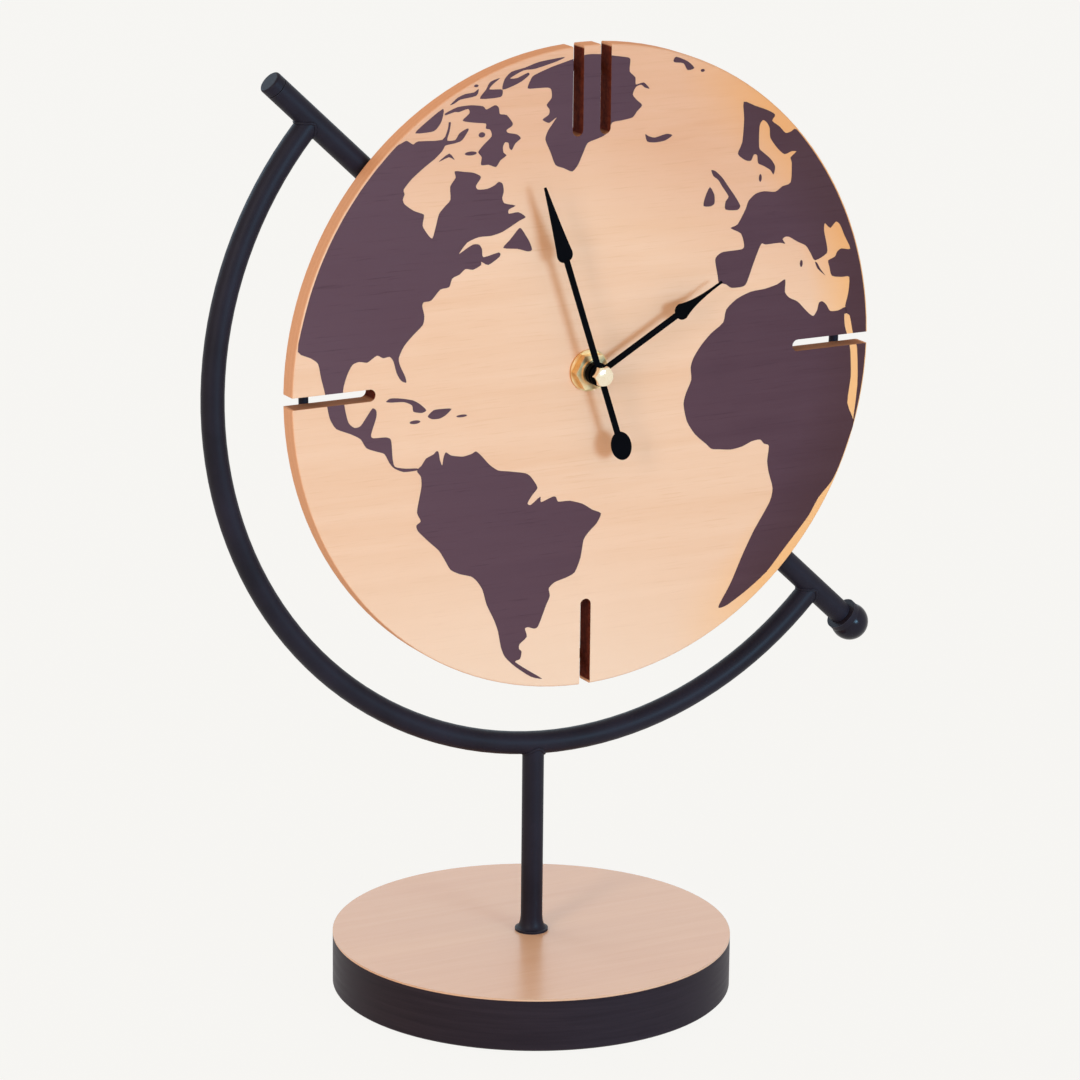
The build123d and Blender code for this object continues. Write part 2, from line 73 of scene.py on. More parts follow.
# The map print and the slots that it is cut for, in mm
PRINT_R = 99.4
FILM_PROUD = 0.08
FILM_SUNK = 0.15
SLOT_W = 3.7
SLOT_L = 27.5
SLOT_RUNOUT = 2
SLOT_STEPS = 8
TWELVE_PITCH = 9.4
OVAL_STEPS = 10
COAST_STEPS = 3
COAST_ROUNDING = 0.12
MERGE = 1e-5

# The weld beads under the paint
BEAD_R = 0.5 * MM
BEAD_SIDES = 10
BEAD_STEPS = 48

# The floor, the background and the fill light from all round
PALE = "F7F6F3"
FLOOR_SIZE = 6.0
FLOOR_DROP = 0.3 * MM
FLOOR_COLOR = (0.86, 0.85, 0.83, 1)
FLOOR_GLOW = 0.98
FILL_COLOR = (1.0, 0.75, 0.52, 1)
FILL_STRENGTH = 0.62

# The camera, fitted to the photo
AZIMUTH = math.radians(-28.63)
ELEVATION = math.radians(15.5)
ROLL = math.radians(0.6)
DISTANCE = 1.5386
AIM_RIGHT = 0.00144
AIM_UP = 0.14512
FOCAL_PX = 4995.2
IMAGE_PX = 1080
SENSOR = 36.0
NEAR, FAR = 0.05, 50.0


def srgb(text):
    """Linear colour from a hex code."""
    out = []
    for i in (0, 2, 4):
        v = int(text[i:i + 2], 16) / 255
        out.append(v / 12.92 if v <= 0.04045 else ((v + 0.055) / 1.055) ** 2.4)
    return (*out, 1.0)


def full_turn(count):
    """Angles of a full turn in equal steps."""
    return [2 * math.pi * n / count for n in range(count)]


class Shader:
    """A material with a few short ways to add nodes to it."""

    def __init__(self, name, color, roughness, metallic=0.0):
        self.mat = bpy.data.materials.new(name)
        self.mat.use_nodes = True
        self.tree = self.mat.node_tree
        self.bsdf = next(n for n in self.tree.nodes if n.type == "BSDF_PRINCIPLED")
        self.coords = self.tree.nodes.new("ShaderNodeTexCoord")
        self.bumps = None
        self.set(Base_Color=color, Roughness=roughness, Metallic=metallic)

    def set(self, **sockets):
        """Uniform values of the surface, with _ for a space in a socket's name."""
        for name, value in sockets.items():
            self.bsdf.inputs[name.replace("_", " ")].default_value = value

    def link(self, output, name):
        self.tree.links.new(output, self.bsdf.inputs[name])

    def node(self, kind, links=None, **settings):
        """New node with its settings, and its inputs linked or set."""
        made = self.tree.nodes.new("ShaderNode" + kind)
        for key, value in settings.items():
            setattr(made, key, value)
        for key, value in (links or {}).items():
            socket = made.inputs[key]
            if isinstance(value, bpy.types.NodeSocket):
                self.tree.links.new(value, socket)
            else:
                socket.default_value = value
        return made

    def space(self, scale=(1, 1, 1), centre=(0, 0, 0), turn=(0, 0, 0)):
        """Object coordinates from a centre, turned and stretched."""
        links = {0: self.coords.outputs["Object"], 1: tuple(centre)}
        moved = self.node("VectorMath", links, operation="SUBTRACT").outputs[0]
        links = {"Vector": moved, "Rotation": turn, "Scale": scale}
        return self.node("Mapping", links).outputs[0]

    def part(self, vector, axis):
        return self.node("SeparateXYZ", {0: vector}).outputs[axis]

    def facing(self, axis):
        """Component of the surface's normal along an axis."""
        return self.part(self.coords.outputs["Normal"], axis)

    def length(self, vector):
        return self.node("VectorMath", {0: vector}, operation="LENGTH").outputs["Value"]

    def dot(self, a, b):
        return self.node("VectorMath", {0: a, 1: b}, operation="DOT_PRODUCT").outputs["Value"]

    def noise(self, scale, detail=4.0, rough=0.55, space=None, warp=0.0):
        links = {"Vector": self.coords.outputs["Object"] if space is None else space,
                 "Scale": scale, "Detail": detail, "Roughness": rough, "Distortion": warp}
        return self.node("TexNoise", links).outputs["Fac"]

    def wave(self, space, scale, warp=0.0, **settings):
        links = {"Vector": space, "Scale": scale, "Distortion": warp}
        return self.node("TexWave", links, **settings).outputs["Fac"]

    def span(self, value, low, high, to_low=0.0, to_high=1.0):
        """Value from low..high brought to to_low..to_high, held at the ends."""
        links = {"Value": value, "From Min": low, "From Max": high,
                 "To Min": to_low, "To Max": to_high}
        return self.node("MapRange", links).outputs[0]

    def math(self, operation, a, b=0.0):
        return self.node("Math", {0: a, 1: b}, operation=operation).outputs[0]

    def times(self, a, b):
        return self.math("MULTIPLY", a, b)

    def mix(self, fac, a, b, blend="MIX"):
        links = {"Fac": fac, "Color1": a, "Color2": b}
        return self.node("MixRGB", links, blend_type=blend).outputs[0]

    def worn(self, color, radius, share, tone):
        """Color, with a share of a tone along sharp edges."""
        soft = self.node("Bevel", {"Radius": radius}, samples=6).outputs[0]
        true = self.node("NewGeometry").outputs["Normal"]
        edges = self.span(self.dot(soft, true), 0.99, 0.8)
        return self.mix(self.times(edges, share), color, srgb(tone))

    def bump(self, height, depth, strength=1.0):
        """Add a relief of the given depth in metres to those made before."""
        links = {"Height": height, "Distance": depth, "Strength": strength}
        if self.bumps is not None:
            links["Normal"] = self.bumps
        self.bumps = self.node("Bump", links).outputs[0]
        self.link(self.bumps, "Normal")


def wood_grain(sh, seed=0.0):
    """Fac of long soft streaks and Fac of fine pores, for a grain that runs along x."""
    streak_space = sh.space((9, 150, 150), centre=(seed, seed, seed))
    pore_space = sh.space((60, 1500, 1500), centre=(seed, seed, seed))
    streaks = sh.noise(1.0, 5.0, 0.62, streak_space, warp=0.35)
    pores = sh.noise(1.0, 3.0, 0.6, pore_space)
    return streaks, pores


def dial_reach(sh):
    """Distance from the dial's axis."""
    here = sh.space(centre=CENTRE)
    flat = sh.node("CombineXYZ", {"X": sh.part(here, "X"), "Z": sh.part(here, "Z")}).outputs[0]
    return sh.length(flat)


def painted_rim_glow(sh):
    """Fac of a painted warm glow of light on the front face towards its right edge."""
    right = sh.span(sh.part(sh.space(centre=CENTRE), "X"), 30 * MM, 62 * MM)
    front = sh.span(sh.facing("Y"), -0.3, -0.7)
    outer = sh.span(dial_reach(sh), 80 * MM, 95 * MM)
    return sh.times(sh.times(right, front), outer)


def veneer_and_painted_light(sh, streaks, pores):
    """Colour of the dial's flat sides: wood grain and tone, with painted shade darker towards the upper edge and
    the right, painted light paler towards the lower edge, and the painted warm glow at the right edge.
    """
    broad = sh.noise(16.0, 2.0, 0.5)
    color = sh.mix(sh.span(streaks, 0.32, 0.68), srgb("EDB993"), srgb("F3C4A2"))
    color = sh.mix(sh.span(broad, 0.35, 0.7, 0.0, 0.35), color, srgb("F4C6A4"))
    color = sh.mix(sh.span(pores, 0.56, 0.72, 0.0, 0.3), color, srgb("DDA47B"))
    # Painted light: a warm golden glow on the face towards its right edge
    color = sh.mix(painted_rim_glow(sh), color, srgb("F6B679"))
    # Painted shade and painted light: a band darker towards the upper edge and the right, and paler towards the
    # lower edge, stands in for light falling off across the face; its edge wanders with the grain
    here = sh.space(centre=CENTRE)
    drift = sh.times(sh.math("SUBTRACT", streaks, 0.5), 24 * MM)
    lean = sh.times(sh.math("MAXIMUM", sh.part(here, "X"), 0.0), 0.45)
    height = sh.math("ADD", sh.math("ADD", sh.part(here, "Z"), lean), drift)
    painted_shade_top = sh.span(height, 46 * MM, 78 * MM)
    painted_light_bottom = sh.span(height, -45 * MM, -92 * MM, 0.0, 0.6)
    color = sh.mix(painted_shade_top, color, (0.89, 0.79, 0.74, 1), "MULTIPLY")
    return sh.mix(painted_light_bottom, color, srgb("F8D5B8"))


def cut_edge(sh, pores):
    """Colour of the dial's cut sides: pale at the rim, charred in the slots, with a painted highlight on slot
    walls that face up.
    """
    ply = sh.wave(sh.space(), 150.0, 1.5, wave_type="BANDS", bands_direction="Y")
    rim = sh.mix(sh.span(ply, 0.2, 0.8, 0.0, 0.35), srgb("EBB089"), srgb("E4A67E"))
    rim = sh.mix(sh.span(pores, 0.5, 0.7, 0.0, 0.25), rim, srgb("D2956D"))
    soot = sh.noise(700.0, 3.0)
    char = sh.mix(sh.span(soot, 0.35, 0.7), srgb("52190B"), srgb("722E18"))
    # Painted highlight: slot walls that face up are paler tan, as if lit from above
    painted_light_ledge = sh.span(sh.facing("Z"), 0.6, 0.95)
    char = sh.mix(painted_light_ledge, char, srgb("B67C58"))
    inside = sh.span(dial_reach(sh), DIAL_R - 1.0 * MM, DIAL_R - 0.55 * MM, 1.0, 0.0)
    return sh.mix(inside, rim, char)


def dial_wood():
    sh = Shader("dial_wood", srgb("F0C5A6"), 0.5)
    streaks, pores = wood_grain(sh)
    side = sh.span(sh.math("ABSOLUTE", sh.facing("Y")), 0.85, 0.55)
    color = sh.mix(side, veneer_and_painted_light(sh, streaks, pores), cut_edge(sh, pores))
    sh.link(sh.worn(color, 0.45 * MM, 0.3, "C58D63"), "Base Color")
    satin = sh.span(streaks, 0.3, 0.7, 0.44, 0.58)
    sh.link(sh.math("MAXIMUM", satin, sh.times(side, 0.95)), "Roughness")
    sh.bump(pores, 0.05 * MM, 0.5)
    sh.bump(streaks, 0.12 * MM, 0.35)
    sh.set(Specular_IOR_Level=0.12)
    return sh.mat


def map_ink():
    sh = Shader("map_ink", srgb("5C4852"), 0.55)
    streaks, pores = wood_grain(sh)
    patch = sh.noise(14.0, 3.0)
    across = sh.part(sh.space(centre=CENTRE), "X")
    color = sh.mix(sh.span(across, -DIAL_R, DIAL_R), srgb("61464E"), srgb("472B33"))
    color = sh.mix(sh.span(patch, 0.35, 0.65, 0.0, 0.5), color, srgb("5A3C44"))
    color = sh.mix(sh.span(streaks, 0.35, 0.7, 0.0, 0.3), color, srgb("61444B"))
    color = sh.mix(sh.span(pores, 0.6, 0.72, 0.0, 0.35), color, srgb("3C2830"))
    # Painted light: the same warm glow, weaker, on the ink near the right edge
    color = sh.mix(sh.times(painted_rim_glow(sh), 0.35), color, srgb("482A24"))
    sh.link(color, "Base Color")
    sh.link(sh.span(pores, 0.3, 0.7, 0.5, 0.65), "Roughness")
    sh.bump(pores, 0.05 * MM, 0.5)
    sh.set(Specular_IOR_Level=0.12)
    return sh.mat


def base_wood():
    sh = Shader("base_wood", srgb("EAB98F"), 0.5)
    streaks, pores = wood_grain(sh, seed=0.37)
    color = sh.mix(sh.span(streaks, 0.3, 0.7), srgb("E2AF8A"), srgb("E8BB99"))
    color = sh.mix(sh.span(pores, 0.56, 0.72, 0.0, 0.25), color, srgb("D6A078"))
    sh.link(sh.worn(color, 0.4 * MM, 0.5, "A87C62"), "Base Color")
    sh.link(sh.span(streaks, 0.3, 0.7, 0.5, 0.6), "Roughness")
    sh.bump(pores, 0.03 * MM, 0.4)
    sh.set(Specular_IOR_Level=0.25, Coat_Weight=0.58, Coat_Roughness=0.25)
    return sh.mat


def base_paint():
    sh = Shader("base_paint", srgb("352B33"), 0.45)
    grain = sh.noise(1.0, 4.0, 0.6, sh.space((25, 25, 700)))
    speck = sh.noise(2600.0, 2.0)
    color = sh.mix(sh.span(grain, 0.3, 0.7), srgb("261E25"), srgb("30272E"))
    sh.link(sh.worn(color, 0.5 * MM, 0.4, "5A4844"), "Base Color")
    sh.link(sh.span(grain, 0.3, 0.7, 0.4, 0.52), "Roughness")
    sh.bump(grain, 0.08 * MM, 0.4)
    sh.bump(speck, 0.02 * MM, 0.4)
    sh.set(Specular_IOR_Level=0.08)
    return sh.mat


def ball_polish(sh):
    """Fac of 1 on the ball past its collar, and 0 elsewhere."""
    from_ball = sh.space(centre=BALL)
    near = sh.span(sh.length(from_ball), 1.05 * BALL_R, 1.15 * BALL_R, 1.0, 0.0)
    past_collar = sh.span(sh.dot(from_ball, tuple(-UP)), -0.5 * BALL_R, -0.3 * BALL_R)
    return sh.times(near, past_collar)


def black_metal():
    sh = Shader("black_metal", srgb("18171D"), 0.38)
    peel = sh.noise(1700.0, 2.0)
    smudge = sh.noise(45.0, 4.0, 0.6)
    color = sh.mix(sh.span(smudge, 0.35, 0.7), srgb("1A1720"), srgb("24202B"))
    sh.link(sh.worn(color, 0.35 * MM, 0.4, "55535F"), "Base Color")
    satin = sh.span(smudge, 0.3, 0.7, 0.42, 0.52)
    sh.link(sh.math("SUBTRACT", satin, sh.times(ball_polish(sh), 0.3)), "Roughness")
    sh.bump(peel, 0.02 * MM, 0.35)
    sh.set(Specular_IOR_Level=0.13)
    return sh.mat


def hand_black():
    sh = Shader("hand_black", srgb("060608"), 0.55)
    speck = sh.noise(2200.0, 2.0)
    haze = sh.noise(90.0, 3.0)
    color = sh.mix(sh.span(haze, 0.35, 0.7), srgb("030305"), srgb("07070B"))
    sh.link(sh.worn(color, 0.12 * MM, 0.2, "22222A"), "Base Color")
    sh.link(sh.span(haze, 0.3, 0.7, 0.48, 0.62), "Roughness")
    sh.bump(speck, 0.01 * MM, 0.3)
    sh.set(Specular_IOR_Level=0.02)
    return sh.mat


def brass(name, light, dark, rough):
    sh = Shader(name, dark, 0.26, 1.0)
    turned = sh.wave(sh.space(centre=CENTRE), 900.0, 0.4, wave_type="RINGS", rings_direction="Y")
    tarnish = sh.noise(420.0, 4.0, 0.6)
    sh.link(sh.mix(sh.span(tarnish, 0.4, 0.75), light, dark), "Base Color")
    sh.link(sh.span(tarnish, 0.3, 0.7, *rough), "Roughness")
    sh.bump(turned, 0.01 * MM, 0.35)
    return sh.mat


def steel():
    sh = Shader("steel", (0.58, 0.59, 0.61, 1), 0.34, 1.0)
    brushed = sh.noise(1.0, 3.0, 0.6, sh.space((180, 2500, 2500)))
    cloud = sh.noise(160.0, 3.0)
    color = sh.mix(sh.span(cloud, 0.35, 0.7), (0.62, 0.63, 0.65, 1), (0.46, 0.47, 0.5, 1))
    sh.link(color, "Base Color")
    sh.link(sh.span(brushed, 0.3, 0.7, 0.26, 0.44), "Roughness")
    sh.bump(brushed, 0.012 * MM, 0.35)
    return sh.mat


def moulded(name, dark, light, rough):
    sh = Shader(name, srgb(light), rough)
    spark = sh.noise(2400.0, 2.0)
    flow = sh.noise(38.0, 3.0)
    color = sh.mix(sh.span(flow, 0.35, 0.7), srgb(dark), srgb(light))
    sh.link(sh.worn(color, 0.3 * MM, 0.35, "77767A"), "Base Color")
    sh.link(sh.span(spark, 0.3, 0.7, rough - 0.07, rough + 0.07), "Roughness")
    sh.bump(spark, 0.03 * MM, 0.5)
    return sh.mat


def felt():
    sh = Shader("felt", srgb("1C1B1E"), 0.95)
    fibre = sh.noise(1.0, 4.0, 0.7, sh.space((1900, 1300, 1900), turn=(0.3, 0.2, 0.7)))
    tuft = sh.noise(380.0, 3.0)
    color = sh.mix(sh.span(fibre, 0.35, 0.65), srgb("121114"), srgb("2E2C31"))
    color = sh.mix(sh.span(tuft, 0.4, 0.7, 0.0, 0.5), color, srgb("262428"))
    sh.link(color, "Base Color")
    sh.link(sh.span(tuft, 0.3, 0.7, 0.9, 1.0), "Roughness")
    sh.bump(fibre, 0.2 * MM, 0.7)
    sh.set(Sheen_Weight=0.4, Sheen_Roughness=0.5)
    return sh.mat


def rubber():
    sh = Shader("rubber", srgb("1D1D1E"), 0.75)
    grit = sh.noise(1600.0, 3.0)
    bloom = sh.noise(120.0, 3.0)
    color = sh.mix(sh.span(bloom, 0.4, 0.7), srgb("17171A"), srgb("29292B"))
    sh.link(color, "Base Color")
    sh.link(sh.span(bloom, 0.3, 0.7, 0.66, 0.84), "Roughness")
    sh.bump(grit, 0.04 * MM, 0.5)
    return sh.mat


def cell_wrap():
    """Two-coloured wrap of the battery, with bare metal ends."""
    sh = Shader("cell_wrap", srgb("234A3C"), 0.3)
    length = cell_high.x - cell_low.x
    place = sh.span(sh.part(sh.coords.outputs["Object"], "X"), cell_low.x, cell_high.x)
    band = sh.math("GREATER_THAN", place, CELL_BAND)
    from_middle = sh.math("ABSOLUTE", sh.math("SUBTRACT", place, 0.5))
    bare = sh.math("GREATER_THAN", from_middle, 0.5 - CELL_BARE / length)
    scuff = sh.noise(1.0, 4.0, 0.6, sh.space((60, 900, 900)))
    color = sh.mix(band, srgb("1E4234"), srgb("B98A4A"))
    color = sh.mix(sh.span(scuff, 0.55, 0.75, 0.0, 0.25), color, srgb("D8D4C8"))
    sh.link(sh.mix(bare, color, (0.6, 0.61, 0.63, 1)), "Base Color")
    sh.link(bare, "Metallic")
    sh.link(sh.span(scuff, 0.3, 0.7, 0.22, 0.38), "Roughness")
    sh.bump(scuff, 0.02 * MM, 0.3)
    sh.set(Coat_Weight=0.3, Coat_Roughness=0.12)
    return sh.mat


mats = {
    "black_metal": black_metal(),
    "hand_black": hand_black(),
    "map_ink": map_ink(),
    "dial_wood": dial_wood(),
    "base_wood": base_wood(),
    "base_paint": base_paint(),
    "felt": felt(),
    "steel": steel(),
    "brass": brass("brass", (0.84, 0.56, 0.28, 1), (0.72, 0.44, 0.2, 1), (0.3, 0.46)),
    "black_plastic": moulded("black_plastic", "19191B", "242427", 0.5),
    "white_plastic": moulded("white_plastic", "D2CEC2", "E4E1D8", 0.42),
    "rubber": rubber(),
    "cell_wrap": cell_wrap(),
}
for entry in frame["record"]["subparts"]:
    obj = nodes[entry["node"]]
    obj.data.materials.clear()
    obj.data.materials.append(mats[entry["material_slot"]])

# The nut on the hands is paler than the other brass, and polished
nodes["hand_nut"].data.materials[0] = brass(
    "polished_brass", (0.95, 0.84, 0.64, 1), (0.9, 0.76, 0.54, 1), (0.08, 0.16))


def add_mesh(name, bm, body, slot, smooth=False):
    """New piece from a bmesh, in place, riding on a body."""
    bmesh.ops.recalc_face_normals(bm, faces=bm.faces)
    mesh = bpy.data.meshes.new(name)
    bm.to_mesh(mesh)
    bm.free()
    for face in mesh.polygons:
        face.use_smooth = smooth
    mesh.materials.append(mats[slot])
    piece = bpy.data.objects.new(name, mesh)
    scene.collection.objects.link(piece)
    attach(piece, body)


def smooth_loop(points):
    """Closed loop of points through the given ones, rounded a little between them."""
    out = []
    count = len(points)
    for i in range(count):
        before, start, end, after = (Vector(points[(i + k) % count]) for k in (-1, 0, 1, 2))
        leave = start + (end - before) * COAST_ROUNDING
        arrive = end - (after - start) * COAST_ROUNDING
        for n in range(COAST_STEPS):
            t = n / COAST_STEPS
            a = start.lerp(leave, t)
            b = leave.lerp(arrive, t)
            c = arrive.lerp(end, t)
            out.append(a.lerp(b, t).lerp(b.lerp(c, t), t))
    return out


def film(bm, loops, cuts, front_y, back_y):
    """Thin closed slab with the outlines of loops, less cuts, in mm from the dial's centre."""
    points, faces = [], []
    for loop in loops + cuts:
        order = list(range(len(points), len(points) + len(loop)))
        turn = sum(a[0] * b[1] - a[1] * b[0] for a, b in zip(loop, loop[1:] + loop[:1]))
        faces.append(order if turn > 0 else order[::-1])
        points += [Vector(p) for p in loop]
    flat, _, triangles, _, _, sources = delaunay_2d_cdt(points, [], faces, 0, MERGE)
    land = set(range(len(loops)))
    kept = [t for t, source in zip(triangles, sources) if source and land.issuperset(source)]

    def layer(y):
        return [bm.verts.new((CENTRE.x + p.x * MM, y, CENTRE.z + p.y * MM)) for p in flat]
    front, back = layer(front_y), layer(back_y)
    edges = {}
    for triangle in kept:
        bm.faces.new([front[i] for i in triangle])
        bm.faces.new([back[i] for i in reversed(triangle)])
        for edge in zip(triangle, triangle[1:] + triangle[:1]):
            edges[edge] = True
    for i, j in edges:
        if (j, i) not in edges:
            bm.faces.new((front[j], front[i], back[i], back[j]))
    bmesh.ops.delete(bm, geom=[v for v in bm.verts if not v.link_faces], context="VERTS")


def rim_arc(start, end, count=9):
    """Points along the edge of the print, between two angles in degrees."""
    turns = [math.radians(start + (end - start) * n / (count - 1)) for n in range(count)]
    return [(PRINT_R * math.cos(t), PRINT_R * math.sin(t)) for t in turns]


def oval(x, z, width, height):
    turns = full_turn(OVAL_STEPS)
    return [(x + width / 2 * math.cos(t), z + height / 2 * math.sin(t)) for t in turns]


# World map on the dial, in mm from its centre
north_america = rim_arc(131.5, 170.8) + [
    (-94, 13.5), (-91.5, 11.5), (-90.5, 7), (-89.3, 2.5), (-88.3, -3), (-87.5, -6), (-85.5, -9),
    (-81, -11), (-77.5, -13), (-75.5, -16), (-72, -17.5), (-69.5, -18.5), (-67.8, -21.5),
    (-66.2, -23.3), (-63, -24.8), (-58.5, -24.8), (-58.5, -24.2), (-62.5, -23.8), (-66, -22.8),
    (-66.8, -20), (-67.3, -14.5), (-69, -13.4), (-73.2, -13.2), (-74, -12), (-72.3, -7),
    (-72.3, -4.8), (-73.5, -4), (-75.5, -6.5), (-77.5, -9), (-79.5, -9.3), (-81.5, -7.5),
    (-82.7, -3), (-83.3, 2.5), (-82, 7), (-80.2, 10), (-78, 10.7), (-75.5, 10.2), (-74.5, 10.6),
    (-72, 12), (-70, 11), (-67.8, 11.2), (-66.5, 9.5), (-65.5, 6), (-64, 3.5), (-62.3, 2.7),
    (-62.6, 4.5), (-64.3, 8), (-64.8, 10.5), (-63, 14), (-60, 17), (-56.8, 19.8), (-56.3, 22.5),
    (-57, 25.5), (-56.5, 26.7), (-54, 27), (-51, 30), (-48, 30.5), (-47, 33), (-44.5, 34),
    (-42.5, 35.5), (-40, 35), (-37.3, 36.2), (-37.2, 37.2), (-34.8, 36), (-31, 38.2), (-31.3, 39.5),
    (-36.5, 38.5), (-37, 41), (-38, 42.5), (-40, 42.7), (-42.5, 41.5), (-44.8, 40.3), (-42, 43.5),
    (-38, 44.8), (-34, 44.8), (-30, 45.7), (-24.5, 48.5), (-22.3, 49.5), (-24.8, 51.2), (-28, 51),
    (-28, 52.3), (-25.8, 53.3), (-29.5, 54.3), (-30.3, 56), (-29.8, 58), (-30.2, 60.3), (-31.5, 61),
    (-33, 60), (-35.5, 59.2), (-38.5, 59.3), (-39.2, 60.5), (-37.5, 63), (-40, 64.5), (-43, 65),
    (-46.3, 65.5), (-46, 63.5), (-47.8, 61), (-47.7, 57), (-49.5, 55.2), (-51.5, 53), (-52.5, 49.5),
    (-53.7, 45.8), (-55.5, 47.5), (-57, 50), (-56.5, 53), (-57.3, 53.7), (-60, 54.8), (-63, 57),
    (-63.6, 58.5), (-63, 60), (-63.3, 61.5), (-60.5, 64.5), (-56.5, 67.5), (-53, 69.8), (-50.5, 72),
    (-49.5, 73.5), (-46.5, 73.9), (-44, 74.6), (-41.8, 77.5), (-42.3, 78), (-44.8, 76.8),
    (-46.2, 74.9), (-48.9, 75), (-48.2, 77.5), (-47.7, 80.2), (-48.4, 80.3), (-48.7, 78.5),
    (-50.5, 75.3), (-58.5, 75.5), (-60.2, 74.7), (-62.3, 76), (-64, 75.4)]
arctic_islands = [
    [(-59.5, 78), (-56.5, 80.6), (-50.3, 84.6), (-50.8, 81), (-52.3, 78.9), (-54, 78)],
    [(-48, 85.5), (-45.5, 87.5), (-43, 88.4), (-40, 88.7), (-38.5, 89.6), (-39.3, 87.6),
     (-44.5, 86.9), (-46.5, 85.9)],
    oval(-39.3, 90.6, 1.5, 0.8),
    [(-38, 86.6), (-36, 89.2), (-34.6, 91.4), (-31.4, 92.3), (-33.8, 90.6), (-34.9, 89.2),
     (-31, 88.9), (-30.4, 88.2), (-31.2, 86.6)],
    [(-30.5, 88.8), (-29.8, 91.8), (-27.5, 93.9), (-23, 94.8), (-18, 96.2), (-9.5, 97),
     (-12.5, 95.8), (-19.5, 94.2), (-23.5, 94), (-28, 92), (-25.5, 91.9), (-22, 93.2),
     (-21.5, 92.5), (-24, 90.8), (-27, 89.6)],
    [(-49.5, 83.2), (-45.5, 84.7), (-41, 84.9), (-37, 84.3), (-35.8, 83.2), (-33, 84.3),
     (-31.7, 83.5), (-31.3, 81.5), (-29, 81), (-27, 78.5), (-27.3, 77.5), (-29, 76.5),
     (-28.5, 75.6), (-25.5, 74.9), (-24.2, 73.6), (-26, 72.2), (-27.2, 70.3), (-28, 71),
     (-28.3, 72.5), (-29.5, 72.8), (-30.2, 71.5), (-30, 69.8), (-29, 68.8), (-31, 67.5),
     (-32.5, 65.6), (-35, 66.5), (-37.5, 66.6), (-37.3, 69), (-38.5, 70.6), (-36.5, 72.8),
     (-34, 75), (-34.5, 77), (-36, 77.5), (-36, 79), (-40, 79.6), (-43.8, 80.5), (-41.5, 82.5),
     (-42, 83.9), (-45, 83.2), (-46.5, 83.3), (-49.5, 82.6)],
    oval(-37.3, 75.7, 2.2, 1.6),
    [(-51.7, 68.8), (-48.2, 71), (-46.4, 68.9), (-48.3, 69.9)],
    oval(-41, 70.4, 4, 1.2),
    [(-24.5, 46.2), (-23.5, 45.8), (-22.3, 44), (-21, 42), (-20, 39.3), (-21.5, 38.9), (-25, 40),
     (-29.8, 40.7), (-27.5, 43)]]
greenland = [
    (-6.5, 62), (-9.5, 63.3), (-12.3, 64.5), (-14, 68.5), (-15.8, 72.5), (-15, 75), (-13.5, 77),
    (-12, 79), (-14.5, 77.5), (-16, 78), (-16.8, 78.7), (-14.7, 80), (-14.5, 81.5), (-15.5, 83),
    (-13.8, 85), (-14, 87.5), (-15.3, 88.2), (-19, 88.3), (-22, 88.5), (-21, 91), (-19.8, 92.3),
    (-14, 94.3), (-8, 95.8), (-2, 97.2), (4, 96.8), (8, 96), (12, 95.3), (13, 94.5), (12.8, 91),
    (14.8, 89), (15, 86.8), (17.8, 87.2), (19.8, 85.2), (18.2, 85.6), (16.8, 86.6), (15, 86),
    (14, 83.8), (15.5, 82), (17.3, 80.3), (15.5, 78.5), (14, 76.8), (10, 76.2), (7, 75.8),
    (5, 72.5), (2, 71.3), (-1.3, 70.3), (-2.8, 67.5), (-4.5, 64)]
atlantic_islands = [
    [(28, 93.2), (29, 94.2), (33, 92.5), (35.3, 90.3), (33, 89.8), (31.5, 92), (28.5, 92.5)],
    oval(38.3, 89.3, 1.4, 0.9),
    [(18.6, 71.3), (19.8, 70.6), (22, 70), (26, 70.8), (28, 70.2), (25.5, 68.8), (22, 68.5),
     (19.3, 69)],
    [(41.6, 53), (43.2, 50.5), (43.3, 47.8), (42, 47), (39.5, 47.3), (40, 50)],
    [(42, 58.2), (43.5, 57.8), (46, 55.5), (48, 52.8), (50.5, 49.5), (52.5, 46.3), (51.5, 45),
     (47.3, 45.5), (47.3, 48), (48.3, 49.5), (46, 52.8), (44.5, 55), (42.8, 56.3)],
    oval(59.5, 54.3, 1.0, 2.4),
    oval(75, 26, 1.0, 2.2),
    [(80, 26), (81, 23.8), (83.8, 21.4), (82, 23.6), (80.8, 25.6)]]
